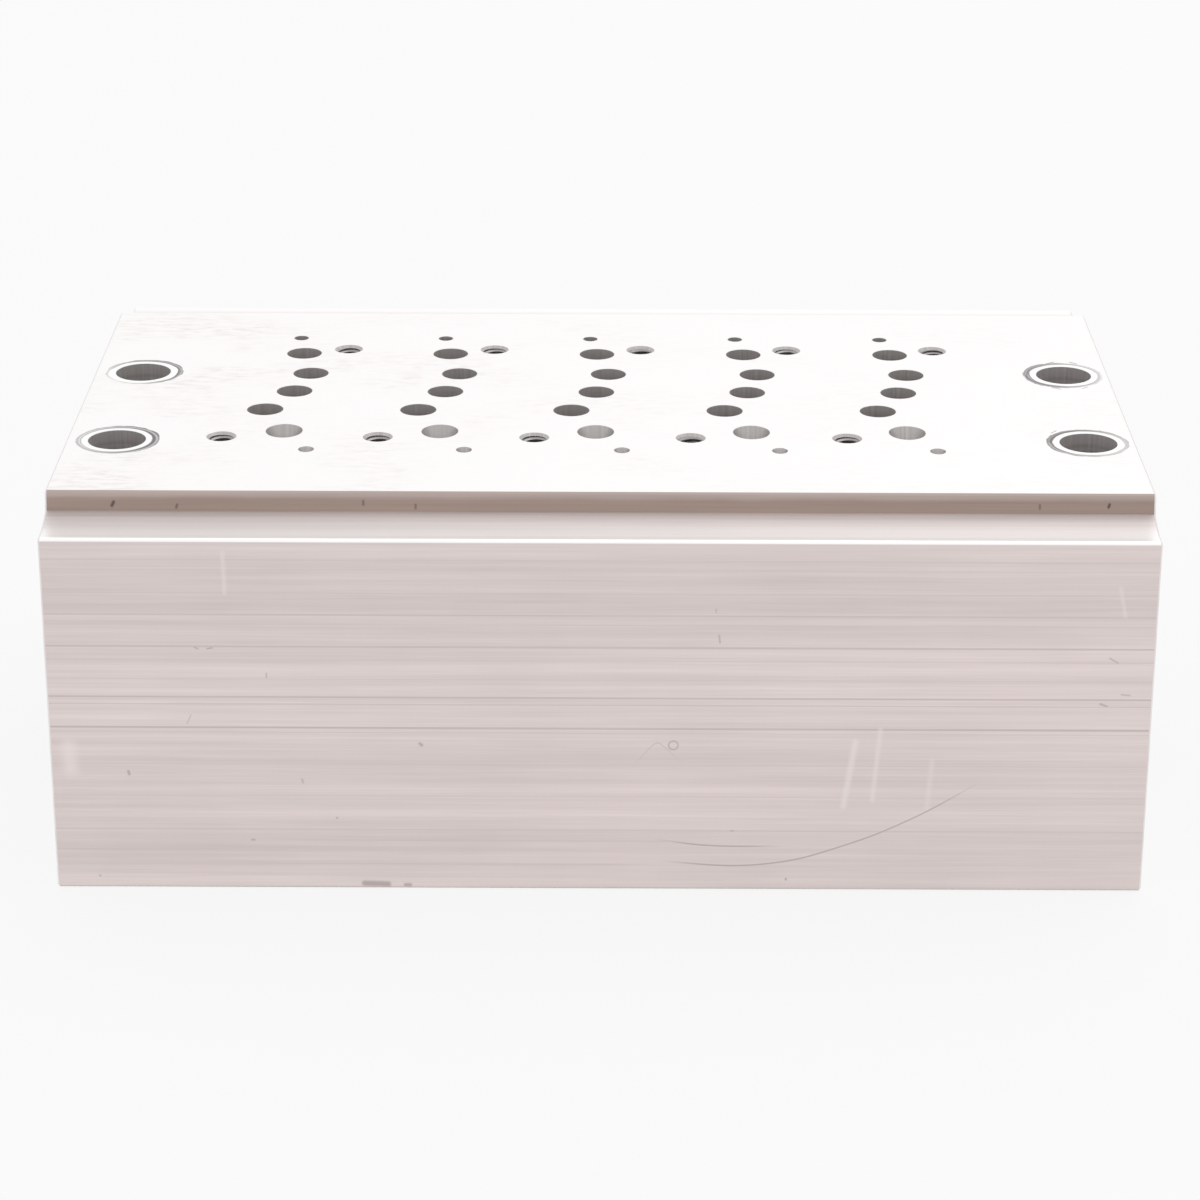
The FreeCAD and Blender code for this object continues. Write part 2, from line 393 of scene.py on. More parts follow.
def colour_property(name, description, default):
    """A colour that the sidebar can change."""
    return FloatVectorProperty(name=name, description=description, default=default,
                               subtype="COLOR", size=3, min=0.0, max=1.0)


def share_property(name, description, default):
    """A value from 0 to 1 that the sidebar can change."""
    return FloatProperty(name=name, description=description, default=default,
                         min=0.0, max=1.0, subtype="FACTOR")


class AluminiumFinish(bpy.types.PropertyGroup):
    """The colours and gloss of the block's faces."""

    land_colour: colour_property("Land", "The bright ground face under the valves",
                                 (0.965, 0.945, 0.940))
    smudge_colour: colour_property("Smudge", "Faint handling marks on the land",
                                   (0.66, 0.56, 0.55))
    side_colour: colour_property("Sides", "The dull extruded sides", (0.700, 0.618, 0.604))
    line_colour: colour_property("Die Lines", "The dark long lines on the sides",
                                 (0.42, 0.36, 0.35))
    pale_colour: colour_property("Rubbed", "Where the sides were rubbed bright",
                                 (0.82, 0.75, 0.74))
    # Painted shade: the step's colour is darker than that of the other faces. The next colour is a
    # darker brown towards the step's foot.
    step_shade_colour: colour_property("Step", "The step below the land", (0.44, 0.36, 0.335))
    step_foot_colour: colour_property("Brown", "The brown film low on the step",
                                  (0.35, 0.265, 0.230))
    # Painted shade: the ledge's darker colour near the step.
    ledge_shade_colour: colour_property("Ledge", "The ledge near the step", (0.60, 0.54, 0.53))
    end_colour: colour_property("Ends", "The milled ends", (0.80, 0.765, 0.755))
    bore_colour: colour_property("Bores", "The drilled walls", (0.56, 0.53, 0.52))
    thread_colour: colour_property("Threads", "The cut threads", (0.36, 0.34, 0.335))
    scuff_colour: colour_property("Scuffs", "The metal scuffed by bolt heads",
                                  (0.20, 0.185, 0.185))
    contact_colour: colour_property("Contact", "The clean rings under the bolt heads",
                                    (0.98, 0.975, 0.97))
    speck_colour: colour_property("Specks", "Dirt caught on the step", (0.08, 0.06, 0.055))
    land_roughness: share_property("Land Roughness", "Gloss of the ground land", 0.34)
    side_roughness: share_property("Side Roughness", "Gloss of the extruded sides", 0.42)
    bore_roughness: share_property("Bore Roughness", "Gloss of the drilled walls", 0.34)
    bore_metal: share_property("Bore Metal", "How much of a drilled wall mirrors", 0.40)
    line_depth: FloatProperty(name="Line Depth", description="Relief of the drawn lines",
                              default=0.004 * MM, subtype="DISTANCE", min=0.0)


# Long dark lines on the front: height, width, strength, and where a short one starts and ends.
FRONT_LINES = (
    (42.1, 0.16, 0.22), (40.9, 0.12, 0.20), (38.0, 0.14, 0.25),
    (35.3, 0.16, 0.42), (34.1, 0.10, 0.22), (31.3, 0.18, 0.45),
    (29.6, 0.12, 0.20), (27.2, 0.10, 0.20), (24.9, 0.16, 0.50),
    (24.0, 0.12, 0.32), (21.0, 0.18, 0.55), (20.4, 0.10, 0.22),
    (16.3, 0.12, 0.22), (12.2, 0.12, 0.18), (7.8, 0.14, 0.30),
    (6.4, 0.13, 0.38, -40, 12), (3.3, 0.13, 0.35, -42, 7),
)

# Nicks and rubbed streaks on the front: from (x, z) to (x, z), width, strength.
FRONT_NICKS = (
    (-55.6, 15.3, -55.5, 14.9, 0.25, 0.7), (-31.1, 9.3, -31.1, 9.3, 0.22, 0.6),
    (-35.1, 14.3, -35.0, 13.9, 0.20, 0.5), (-41.3, 6.4, -41.0, 6.4, 0.20, 0.6),
    (-21.1, 19.0, -20.9, 18.8, 0.28, 0.7), (-59.6, 1.6, -59.6, 1.6, 0.25, 0.5),
    (-47.2, 31.2, -46.8, 31.0, 0.16, 0.6), (-45.7, 31.0, -45.1, 31.1, 0.14, 0.7),
    (-38.9, 27.9, -38.9, 27.4, 0.16, 0.5), (13.9, 32.9, 14.0, 32.0, 0.16, 0.6),
    (13.5, 36.2, 13.5, 35.8, 0.16, 0.4), (59.4, 30.2, 60.4, 29.6, 0.16, 0.5),
    (58.6, 24.4, 59.4, 24.1, 0.20, 0.6), (61.0, 25.6, 62.0, 25.5, 0.16, 0.5),
    (22.3, 1.5, 22.3, 1.4, 0.20, 0.7), (15.6, 7.8, 15.9, 7.8, 0.18, 0.5),
    (-48.4, 21.5, -47.9, 22.6, 0.12, 0.4),
)
FRONT_STREAKS = (
    (30.1, 19.4, 28.9, 11.1, 0.65, 0.55), (33.0, 21.0, 32.3, 11.9, 0.50, 0.45),
    (39.2, 17.0, 38.8, 11.0, 0.55, 0.30), (-43.5, 43.0, -43.4, 38.0, 0.45, 0.40),
    (60.2, 39.0, 60.9, 35.5, 0.40, 0.35),
)

# Specks on the step, in the same way.
STEP_SPECKS = (
    (-56.9, 46.3, -56.7, 46.7, 0.30, 0.8), (-49.4, 46.1, -49.3, 46.4, 0.24, 0.6),
    (-27.6, 46.5, -27.6, 46.9, 0.24, 0.5), (-21.5, 46.1, -21.5, 46.5, 0.22, 0.5),
    (51.2, 46.3, 51.2, 46.7, 0.22, 0.5), (59.2, 46.5, 59.3, 46.8, 0.26, 0.8),
)

# Soft pale and dark patches on the front, in the same way.
FRONT_PATCHES = (
    (-62.4, 15.6, -62.5, 18.4, 1.6, 0.55),
)

# Dents along the front's lower edge.
EDGE_DENTS = (
    (-28.0, 0.7, -25.2, 0.6, 0.55, 0.8), (-23.1, 0.5, -22.6, 0.5, 0.40, 0.7),
)

# Ticks on the land beside the bolt holes: from (x, y) to (x, y), width, strength.
LAND_TICKS = (
    (57.3, 10.6, 58.3, 11.3, 0.16, 0.8), (60.4, 11.3, 61.2, 10.6, 0.16, 0.8),
    (57.0, 0.9, 58.0, 0.3, 0.16, 0.7), (60.8, 0.6, 61.5, 1.2, 0.14, 0.6),
    (54.9, -16.6, 55.6, -15.7, 0.14, 0.6), (60.9, -15.6, 61.7, -16.4, 0.14, 0.6),
)

# Each bolt's scuff: inner and outer radius, raggedness, heavy side in degrees, unevenness.
SCUFFS = {
    (-1, 1): (4.45, 4.95, 0.45, 40, 1.0),
    (-1, -1): (4.35, 5.10, 0.30, 10, 0.5),
    (1, 1): (4.45, 5.10, 0.40, 180, 0.7),
    (1, -1): (4.40, 5.00, 0.35, 160, 0.5),
}


def scratch_height(nodes, along, points):
    """The height of a long curved scratch at each place along it, through given points."""
    start, end = points[0][0], points[-1][0]
    reach = levels["top"]
    share = nodes.math("DIVIDE", nodes.math("SUBTRACT", along, start), end - start)
    node = nodes.add("ShaderNodeFloatCurve", {1: share})
    curve = node.mapping.curves[0]
    for _ in points[2:]:
        curve.points.new(0.5, 0.5)
    for point, (x, z) in zip(curve.points, points):
        point.location = ((x - start) / (end - start), z / reach)
    node.mapping.update()
    return nodes.product(node.outputs[0], reach)


# Long curved scratches on the front, each through its own points (x, z).
LONG_SCRATCHES = (
    ((9.7, 3.6), (20.8, 3.6), (29.0, 5.9), (36.5, 9.2), (42.6, 12.8)),
    ((8.6, 6.4), (10.6, 6.1), (12.6, 5.9), (19.7, 5.8)),
    ((5.8, 18.4), (6.4, 19.0), (6.9, 19.2), (7.4, 18.9)),
)
RING_MARK = (8.7, 18.9, 0.55, 0.16)  # x, z, radius and width of a small ring pressed in


def build_groups():
    """Every shared effect, by name."""
    return {
        "zones": zones_group(),
        "lines": lengthwise_group(),
        "die_line": die_line_group(),
        "mark": mark_group(),
        "scuff": scuff_group(),
        "sweeps": sweep_group(),
        "rings": bore_group(),
        "smudges": smudge_group(),
    }


def strongest(nodes, masks):
    """The strongest of several masks at each point, each joined on as soon as it is made."""
    result = 0.0
    for mask in masks:
        result = nodes.math("MAXIMUM", result, mask)
    return result


def new_material(name):
    """A material with only a Principled BSDF: its builder and that node."""
    material = bpy.data.materials.new(name)
    material.use_nodes = True
    tree = material.node_tree
    tree.nodes.clear()
    shader = tree.nodes.new("ShaderNodeBsdfPrincipled")
    output = tree.nodes.new("ShaderNodeOutputMaterial")
    tree.links.new(shader.outputs[0], output.inputs[0])
    return material, Nodes(tree), shader


def place_in_mm(nodes):
    """The x, y and z of the point being shaded, in millimetres of the block's own frame."""
    place = nodes.add("ShaderNodeTexCoord").outputs["Object"]
    scaled = nodes.add("ShaderNodeVectorMath", {0: place, 3: 1 / MM}, operation="SCALE")
    return nodes.split(scaled.outputs[0])


def opaque(colour):
    """A colour property as the four values that a socket takes."""
    return (*colour, 1.0)


def shaded(nodes, colour, tone, contrast):
    """A colour made lighter and darker with a tone about 0."""
    factor = nodes.math("MULTIPLY_ADD", tone, contrast, 1.0)
    grey = nodes.add("ShaderNodeCombineColor", {0: factor, 1: factor, 2: factor}).outputs[0]
    return nodes.tint(1.0, colour, grey, "MULTIPLY")


def bolt_centres():
    """Each holding bolt's side signs and place on the land, in millimetres."""
    mount = mounts["base_bolts"]
    x, y = (in_mm(value) for value in mount["pos_m"][:2])
    half_x = mount["dims"]["spacing_x_mm"] / 2
    half_y = mount["dims"]["spacing_y_mm"] / 2
    return {
        (side_x, side_y): (x + side_x * half_x, y + side_y * half_y)
        for side_x in (-1, 1) for side_y in (-1, 1)
    }


def near_bolt(nodes, x, y):
    """Where a point stands from the bolt hole nearest to it, and the looks of that bolt's scuff."""
    centres = bolt_centres()
    middle_x = sum(centre[0] for centre in centres.values()) / len(centres)
    middle_y = sum(centre[1] for centre in centres.values()) / len(centres)
    right = nodes.math("GREATER_THAN", x, middle_x)
    rear = nodes.math("GREATER_THAN", y, middle_y)
    local_x = nodes.math("SUBTRACT", x, nodes.blend(right, centres[-1, 1][0], centres[1, 1][0]))
    local_y = nodes.math("SUBTRACT", y, nodes.blend(rear, centres[1, -1][1], centres[1, 1][1]))
    looks = []
    for front_left, front_right, rear_left, rear_right in zip(
            SCUFFS[-1, -1], SCUFFS[1, -1], SCUFFS[-1, 1], SCUFFS[1, 1]):
        front = nodes.blend(right, front_left, front_right)
        back = nodes.blend(right, rear_left, rear_right)
        looks.append(nodes.blend(rear, front, back))
    seed = nodes.math("MULTIPLY_ADD", right, 7.0, nodes.product(rear, 14.0))
    return local_x, local_y, looks, seed


def scuff_masks(nodes, groups, x, y):
    """The bright contact rings and the grey scuffs about the bolt holes."""
    local_x, local_y, (inner, outer, ragged, heavy, uneven), seed = near_bolt(nodes, x, y)
    made = nodes.use(
        groups["scuff"], X=local_x, Y=local_y, Inner=inner, Outer=outer, Raggedness=ragged,
        Heavy_Side=nodes.math("RADIANS", heavy), Unevenness=uneven, Seed=seed,
    )
    return made["Contact"], made["Scuff"]


def between(nodes, along, start, end):
    """1 between two places along the block, fading in at the start and out at the end."""
    past_start = nodes.ramp(along, start, start + LINE_FADE)
    return nodes.product(past_start, nodes.ramp(along, end - LINE_FADE, end, 1.0, 0.0))


def die_lines(nodes, groups, x, z):
    """The masks of the long dark lines on the front."""
    for height, width, strength, *reach in FRONT_LINES:
        line = nodes.use(groups["die_line"], Across=z, Height=height, Width=width,
                         Strength=strength)
        if reach:
            yield nodes.product(line["Mask"], between(nodes, x, *reach))
        else:
            yield line["Mask"]


def short_marks(nodes, groups, place, marks, softness):
    """The masks of short marks, each from one point to another with its width and strength."""
    for x0, z0, x1, z1, width, strength in marks:
        start = Vector((x0, z0, 0))
        run = Vector((x1, z1, 0)) - start
        mark = nodes.use(groups["mark"], Place=place, From=start, Run=run,
                         Run_Over_Square=run / max(run.length_squared, 1e-6),
                         Core=width * (1.0 - softness), Width=width, Strength=strength)
        yield mark["Mask"]


def long_scratches(nodes, groups, x, z):
    """The masks of the long curved scratches on the front."""
    for points in LONG_SCRATCHES:
        height = scratch_height(nodes, x, points)
        line = nodes.use(groups["die_line"], Across=z, Height=height, Width=0.14, Strength=0.75)
        reach = points[0][0] - SCRATCH_LEAD, points[-1][0] + SCRATCH_LEAD
        yield nodes.product(line["Mask"], between(nodes, x, *reach))


def ring_mark(nodes, x, z):
    """The mask of the small ring pressed into the front."""
    middle_x, middle_z, radius, width = RING_MARK
    away_x = nodes.math("SUBTRACT", x, middle_x)
    away_z = nodes.math("SUBTRACT", z, middle_z)
    distance = nodes.math("SQRT", nodes.total(nodes.product(away_x, away_x),
                                              nodes.product(away_z, away_z)))
    off = nodes.math("ABSOLUTE", nodes.math("SUBTRACT", distance, radius))
    yield nodes.ramp(off, 0.0, width, 0.7, 0.0)


class Face:
    """What every face's colour is made from: the tree, the shared effects and the place in mm."""

    def __init__(self, nodes, finish):
        self.nodes = nodes
        self.finish = finish
        self.groups = build_groups()
        self.x, self.y, self.z = place_in_mm(nodes)
        self.zone = nodes.use(
            self.groups["zones"], X=self.x, Y=self.y, Z=self.z,
            Half_Length=levels["half_length"], Half_Depth=levels["half_depth"],
            Top=levels["top"], Land_Front=levels["land_front"],
            Land_Rear=levels["land_rear"], Ledge=levels["ledge"],
            Step_Foot=levels["step_foot"],
        )
        self.lines = self.drawn_lines()
        self.cloud = self.soft_cloud()

    def drawn_lines(self):
        """The lengthwise lines, about 0."""
        lines = self.nodes.use(self.groups["lines"])
        return self.nodes.math("MULTIPLY_ADD", lines["Fine"], 0.6,
                               self.nodes.product(lines["Broad"], 0.75))

    def soft_cloud(self):
        """Soft patches some 12 mm across, about 0."""
        return self.nodes.signed(self.nodes.noise((0.08, 0.08, 0.08), 3.0, 0.55))

    def side(self):
        """The extruded sides, with the front's own lines and knocks."""
        nodes, finish, x, z = self.nodes, self.finish, self.x, self.z
        tone = nodes.math("MULTIPLY_ADD", self.cloud, 0.25, self.lines)
        colour = shaded(nodes, opaque(finish.side_colour), tone, 0.15)
        on_front = nodes.ramp(self.y, -40.0, -44.0)
        place = nodes.vector(x, z)
        drawn = strongest(nodes, die_lines(nodes, self.groups, x, z))
        fade = nodes.ramp(self.lines, -0.35, 0.25, 0.35, 1.0)
        marks = strongest(nodes, chain(
            short_marks(nodes, self.groups, place, FRONT_NICKS, 0.7),
            short_marks(nodes, self.groups, place, EDGE_DENTS, 0.8),
            long_scratches(nodes, self.groups, x, z),
            ring_mark(nodes, x, z),
        ))
        dark = nodes.math("MAXIMUM", nodes.product(drawn, fade), marks)
        colour = nodes.tint(nodes.product(dark, on_front), colour, opaque(finish.line_colour))
        pale = strongest(nodes, chain(
            short_marks(nodes, self.groups, place, FRONT_STREAKS, 1.0),
            short_marks(nodes, self.groups, place, FRONT_PATCHES, 1.0),
        ))
        return nodes.tint(nodes.product(pale, on_front), colour, opaque(finish.pale_colour))

    def ledge(self):
        """The ledges: painted shade near the step, fading to a painted highlight at their outer
        edge.
        """
        nodes, finish = self.nodes, self.finish
        from_edge = nodes.math("SUBTRACT", levels["half_depth"], nodes.math("ABSOLUTE", self.y))
        # Painted shade and painted highlight: the ledge's darker colour near the step, turning to
        # the land's white towards its outer edge.
        painted_highlight = nodes.ramp(from_edge, 5.9, 1.2)
        colour = nodes.tint(painted_highlight, opaque(finish.ledge_shade_colour), opaque(finish.land_colour))
        return shaded(nodes, colour, self.lines, nodes.blend(painted_highlight, 0.16, 0.03))

    def step(self):
        """The step, darker as painted shade, and darker brown still towards its foot."""
        nodes, finish = self.nodes, self.finish
        down = nodes.math("SUBTRACT", levels["top"], self.z)
        # Painted shade over the whole step, turning darker brown towards its foot.
        towards_foot = nodes.ramp(nodes.math("MULTIPLY_ADD", self.cloud, 0.35, down), 0.35, 1.15)
        colour = nodes.tint(towards_foot, opaque(finish.step_shade_colour), opaque(finish.step_foot_colour))
        colour = shaded(nodes, colour, self.lines, 0.16)
        specks = strongest(nodes, short_marks(nodes, self.groups, nodes.vector(self.x, self.z),
                                              STEP_SPECKS, 0.8))
        return nodes.tint(specks, colour, opaque(finish.speck_colour))

    def land(self, contact, scuff):
        """The ground land, with smudges, hairline scratches and the marks of the bolt heads."""
        nodes, finish = self.nodes, self.finish
        handling = nodes.use(self.groups["smudges"])
        worn_left = nodes.ramp(self.x, 30.0, -50.0, 0.25, 1.0)
        colour = nodes.tint(nodes.product(handling["Smudge"], worn_left, 0.42),
                            opaque(finish.land_colour), opaque(finish.smudge_colour))
        colour = nodes.tint(nodes.product(handling["Scratch"], worn_left, 0.40), colour,
                            opaque(finish.smudge_colour))
        colour = nodes.tint(contact, colour, opaque(finish.contact_colour))
        return nodes.tint(scuff, colour, opaque(finish.scuff_colour))

    def end(self):
        """The milled ends."""
        nodes, finish = self.nodes, self.finish
        sweeps = nodes.use(self.groups["sweeps"], Across=self.y, Up=self.z,
                           Cutter_Radius=CUTTER_RADIUS, Feed=CUTTER_FEED, Cloud=self.cloud)
        return shaded(nodes, opaque(finish.end_colour), sweeps["Tone"], 0.10)

    def under(self):
        """The underside, as drawn."""
        return shaded(self.nodes, opaque(self.finish.side_colour), self.lines, 0.14)

    def bore(self, rings):
        """The drilled walls."""
        return shaded(self.nodes, opaque(self.finish.bore_colour), rings, 0.30)


def aluminium_material(finish):
    """The block's metal, face by face."""
    material, nodes, shader = new_material("worn_aluminium")
    face = Face(nodes, finish)
    zone = face.zone
    rings = nodes.use(face.groups["rings"], X=face.x, Y=face.y, Z=face.z,
                      Pitch=DRILL_FEED)["Tone"]
    contact, scuff = scuff_masks(nodes, face.groups, face.x, face.y)
    ticks = strongest(nodes, short_marks(nodes, face.groups, nodes.vector(face.x, face.y),
                                         LAND_TICKS, 0.7))
    scuff = nodes.math("MAXIMUM", scuff, ticks)

    colour = face.bore(rings)
    for name, paint in (("Side", face.side()), ("Under", face.under()), ("Ledge", face.ledge()),
                        ("Step", face.step()), ("Land", face.land(contact, scuff)),
                        ("End", face.end())):
        colour = nodes.tint(zone[name], colour, paint)
    nodes.feed(shader.inputs["Base Color"], colour)
    nodes.feed(shader.inputs["Metallic"], nodes.blend(zone["Bore"], 1.0, finish.bore_metal))

    drawn = nodes.math("SUBTRACT", 1.0, nodes.math("ADD", zone["Land"], zone["Bore"]), clamp=True)
    rough = nodes.blend(drawn, finish.bore_roughness, finish.side_roughness)
    rough = nodes.blend(zone["Land"], rough, finish.land_roughness)
    rough = nodes.math("MULTIPLY_ADD", nodes.product(scuff, zone["Land"]), 0.15, rough)
    nodes.feed(shader.inputs["Roughness"], rough)

    lined = nodes.math("SUBTRACT", drawn, zone["End"])
    relief = nodes.total(
        nodes.product(face.lines, lined),
        nodes.product(rings, zone["Bore"], 2.0),
    )
    bump = nodes.add("ShaderNodeBump", {"Strength": 0.5, "Distance": finish.line_depth,
                                        "Height": relief})
    nodes.feed(shader.inputs["Normal"], bump.outputs[0])
    return material


def thread_material(finish):
    """Freshly cut metal, for the threads."""
    material, nodes, shader = new_material("cut_aluminium")
    grain = nodes.signed(nodes.noise((2.2, 2.2, 2.2), 3.0))
    colour = shaded(nodes, opaque(finish.thread_colour), grain, 0.12)
    nodes.feed(shader.inputs["Base Color"], colour)
    shader.inputs["Metallic"].default_value = 1.0
    nodes.feed(shader.inputs["Roughness"], nodes.math("MULTIPLY_ADD", grain, 0.06, 0.30))
    return material


# ---------------------------------------------------------------- threads


class ThreadSizes(bpy.types.PropertyGroup):
    """One kind of tapped hole."""

    pitch: FloatProperty(name="Pitch", description="From one thread crest to the next",
                         default=0.5 * MM, unit="LENGTH", min=0.0001)
    tap_drill: FloatProperty(name="Tap Drill", description="Diameter of the hole before tapping",
                             default=2.5 * MM, unit="LENGTH", min=0.001)
    steps: IntProperty(name="Steps", description="Facets round the hole", default=40, min=12)


# The pitch, the tapping drill and the facets for each kind of hole.
THREADS = {
    "valve": (0.5, 2.5, 28),
    "pilot": (0.8, 4.2, 32),
    "outlet": (0.907, 8.8, 48),
    "gallery": (1.337, 11.8, 56),
}
VALVE_SCREW_SIDE = 6.55  # mm from the middle of a station to its screws, along the row
VALVE_SINK = 3.7
VALVE_DEPTH = 8.0
DRILL_POINT = math.radians(118)

# Where each row of a thread's section stands, as shares of one pitch, and whether it is a root.
THREAD_ROWS = ((0.0, 0.0), (0.17, 0.0), (0.52, 1.0), (0.65, 1.0))


class TreeNodes(Nodes):
    """Nodes for geometry trees, where the shader's own math nodes serve as well."""

    def ramp(self, value, low, high, start=0.0, end=1.0):
        node = self.add("ShaderNodeMapRange", {0: value, 1: low, 2: high, 3: start, 4: end})
        return node.outputs[0]

    def blend(self, mask, a, b):
        """Value a where the mask is 0, and b where it is 1."""
        return self.math("MULTIPLY_ADD", self.math("SUBTRACT", b, a), mask, a)


def thread_tree():
    """A tapped thread, instanced on each point of the geometry along its mouth_axis."""
    tree = bpy.data.node_groups.new("cut_thread", "GeometryNodeTree")
    tree.interface.new_socket("Geometry", in_out="INPUT", socket_type="NodeSocketGeometry")
    for name, default in (("Major Radius", 0.0015), ("Minor Radius", 0.00125), ("Pitch", 0.0005),
                          ("Mouth Radius", 0.00185), ("Depth", 0.008)):
        socket = tree.interface.new_socket(name, in_out="INPUT", socket_type=VALUE)
        socket.subtype = "DISTANCE"
        socket.default_value = default
    for name, default in (("Facets", 32), ("Turns", 16)):
        socket = tree.interface.new_socket(name, in_out="INPUT", socket_type="NodeSocketInt")
        socket.default_value = default
    tree.interface.new_socket("Metal", in_out="INPUT", socket_type="NodeSocketMaterial")
    tree.interface.new_socket("Geometry", in_out="OUTPUT", socket_type="NodeSocketGeometry")
    nodes = TreeNodes(tree)
    given = tree.nodes.new("NodeGroupInput").outputs
    result = tree.nodes.new("NodeGroupOutput").inputs

    # A flat grid: one way goes round the hole, the other down its wall and back up behind it.
    wall_rows = nodes.math("MULTIPLY_ADD", given["Turns"], 4.0, 8.0)
    last_row = nodes.math("ADD", wall_rows, 3.0)
    grid = nodes.add("GeometryNodeMeshGrid", {
        "Size X": 1.0, "Size Y": 1.0,
        "Vertices X": nodes.math("ADD", given["Facets"], 1.0),
        "Vertices Y": nodes.math("ADD", last_row, 1.0),
    }).outputs[0]
    flat = nodes.split(nodes.add("GeometryNodeInputPosition").outputs[0])
    turn = nodes.math("ADD", flat[0], 0.5)
    row = nodes.math("ROUND", nodes.product(nodes.math("ADD", flat[1], 0.5), last_row))
    on_wall = nodes.math("LESS_THAN", row, nodes.math("ADD", wall_rows, 0.5))

    # The place of this row in its pitch, and whether it is a root or a crest.
    whole = nodes.math("FLOOR", nodes.math("DIVIDE", row, 4.0))
    part = nodes.math("SUBTRACT", row, nodes.product(whole, 4.0))
    share, root = 0.0, 0.0
    for index, (offset, is_root) in enumerate(THREAD_ROWS):
        here = nodes.math("COMPARE", part, float(index), 0.1)
        share = nodes.math("MULTIPLY_ADD", here, offset, share)
        root = nodes.math("MULTIPLY_ADD", here, is_root, root)
    steps = nodes.total(whole, share, turn, -2.0)
    bottom = given["Depth"]
    sink = nodes.math("SUBTRACT", given["Mouth Radius"], given["Major Radius"])
    wall_depth = nodes.math("MINIMUM", nodes.math("MAXIMUM", nodes.product(steps, given["Pitch"]),
                                                  sink), bottom)

    # The tap's lead fades the last turns out, and the sunk mouth cuts the first ones.
    lead_start = nodes.math("SUBTRACT", bottom, nodes.product(given["Pitch"], 1.6))
    lead_end = nodes.math("SUBTRACT", bottom, nodes.product(given["Pitch"], 0.4))
    full = nodes.ramp(wall_depth, lead_start, lead_end, 1.0, 0.0)
    threaded = nodes.blend(nodes.product(root, full), given["Minor Radius"],
                           given["Major Radius"])
    cone = nodes.math("SUBTRACT", given["Mouth Radius"], wall_depth)
    wall_radius = nodes.math("MAXIMUM", threaded, cone)

    # Behind the wall the sleeve's back lies just inside the metal.
    back = nodes.math("ADD", given["Major Radius"], 0.02 * MM)
    closing = nodes.math("GREATER_THAN", row, nodes.math("SUBTRACT", last_row, 0.5))
    back_bottom = nodes.math("LESS_THAN", row, nodes.math("ADD", wall_rows, 1.5))
    back_depth = nodes.blend(back_bottom, sink, bottom)
    back_radius = nodes.blend(closing, back, given["Major Radius"])
    depth = nodes.blend(on_wall, back_depth, wall_depth)
    radius = nodes.blend(on_wall, back_radius, wall_radius)
    angle = nodes.product(turn, math.tau)
    place = nodes.vector(nodes.product(radius, nodes.math("COSINE", angle)),
                         nodes.product(radius, nodes.math("SINE", angle)),
                         nodes.product(depth, -1.0))
    bent = nodes.add("GeometryNodeSetPosition", {"Geometry": grid, "Position": place}).outputs[0]
    closed = nodes.add("GeometryNodeMergeByDistance", {"Geometry": bent,
                                                       "Distance": 0.002 * MM}).outputs[0]

    # One on each point, mouth outwards, each cut from a different start.
    axis = nodes.add("GeometryNodeInputNamedAttribute", {"Name": "mouth_axis"},
                     data_type="FLOAT_VECTOR").outputs[0]
    facing = nodes.add("FunctionNodeAlignRotationToVector", {"Vector": axis}, axis="Z").outputs[0]
    start = nodes.add("FunctionNodeRandomValue", {2: 0.0, 3: math.tau, "Seed": 3},
                      data_type="FLOAT").outputs[1]
    spin = nodes.add("FunctionNodeAxisAngleToRotation", {"Axis": (0, 0, 1),
                                                         "Angle": start}).outputs[0]
    turned = nodes.add("FunctionNodeRotateRotation", {0: facing, 1: spin},
                       rotation_space="LOCAL").outputs[0]
    placed = nodes.add("GeometryNodeInstanceOnPoints", {
        "Points": given["Geometry"], "Instance": closed, "Rotation": turned,
    }).outputs[0]
    real = nodes.add("GeometryNodeRealizeInstances", {"Geometry": placed}).outputs[0]
    finished = nodes.add("GeometryNodeSetMaterial", {"Geometry": real,
                                                     "Material": given["Metal"]}).outputs[0]
    nodes.feed(result["Geometry"], finished)
    return tree


def thread_points(name, mouths):
    """An object whose only geometry is a point at each mouth, with the way that it faces."""
    mesh = bpy.data.meshes.new(name)
    mesh.from_pydata([mouth for mouth, _ in mouths], [], [])
    axis = mesh.attributes.new("mouth_axis", "FLOAT_VECTOR", "POINT")
    for item, (_, direction) in zip(axis.data, mouths):
        item.vector = direction
    piece = bpy.data.objects.new(name, mesh)
    bpy.context.scene.collection.objects.link(piece)
    return piece


def input_key(tree, name):
    """A modifier's key for one of its tree's inputs."""
    for item in tree.interface.items_tree:
        if item.item_type == "SOCKET" and item.in_out == "INPUT" and item.name == name:
            return item.identifier
    raise RuntimeError(f"the tree {tree.name} has no input {name}")


def cut_threads(name, mouths, sizes, major_radius, mouth_radius, depth, metal):
    """The threads of one kind of hole, as one plain mesh that stays with the block."""
    tree = bpy.data.node_groups.get("cut_thread") or thread_tree()
    piece = thread_points(name, mouths)
    minor_radius = sizes.tap_drill / 2
    flare = (major_radius - minor_radius) / math.tan(DRILL_POINT / 2)
    values = {
        "Major Radius": major_radius,
        "Minor Radius": minor_radius,
        "Pitch": sizes.pitch,
        "Mouth Radius": mouth_radius,
        "Depth": depth + flare,
        "Facets": sizes.steps,
        "Turns": math.ceil(depth / sizes.pitch),
        "Metal": metal,
    }
    modifier = piece.modifiers.new("threads", "NODES")
    modifier.node_group = tree
    for key, value in values.items():
        modifier[input_key(tree, key)] = value
    ready = piece.evaluated_get(bpy.context.evaluated_depsgraph_get())
    mesh = bpy.data.meshes.new_from_object(ready)
    piece.modifiers.clear()
    piece.data = mesh
    mesh.name = name
    if not mesh.polygons:
        raise RuntimeError(f"no thread was made for {name}")
    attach(piece, "root")
    return piece


